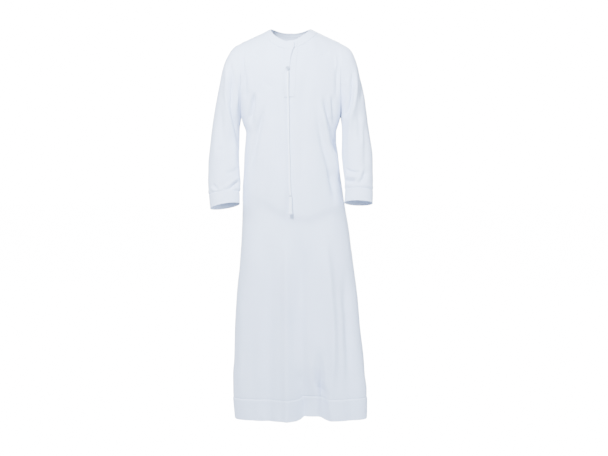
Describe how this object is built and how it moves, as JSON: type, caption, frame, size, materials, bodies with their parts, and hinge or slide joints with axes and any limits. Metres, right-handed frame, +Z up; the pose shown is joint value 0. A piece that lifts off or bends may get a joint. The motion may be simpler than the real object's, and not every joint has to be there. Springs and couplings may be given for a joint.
{
  "type": "thobe robe",
  "caption": "Ankle-length white thobe robe, worn form: long set-in sleeves with deep cuffs, banded round neck, short front slit, hanging tassel",
  "frame": {"origin": "the middle of the line between the two neck points of the shoulder line, where the wearer carries the robe", "axes": "+Z up, -Y to the front, +X to the wearer's left"},
  "size_m": [0.603, 0.2606, 1.4356],
  "materials": {
    "cloth": "plain woven white cloth with a faint sheen",
    "trim": "white twisted thread"
  },
  "bodies": {
    "root": {"front_body": "cloth", "back_body": "cloth", "sleeve_right": "cloth", "sleeve_left": "cloth", "cuff_right": "cloth", "cuff_left": "cloth", "neck_band": "cloth", "neck_binding": "trim", "placket_over": "cloth", "placket_under": "cloth", "neck_button": "trim", "button_loop": "trim", "tassel_cord": "trim", "tassel": "trim"}
  },
  "joints": []
}
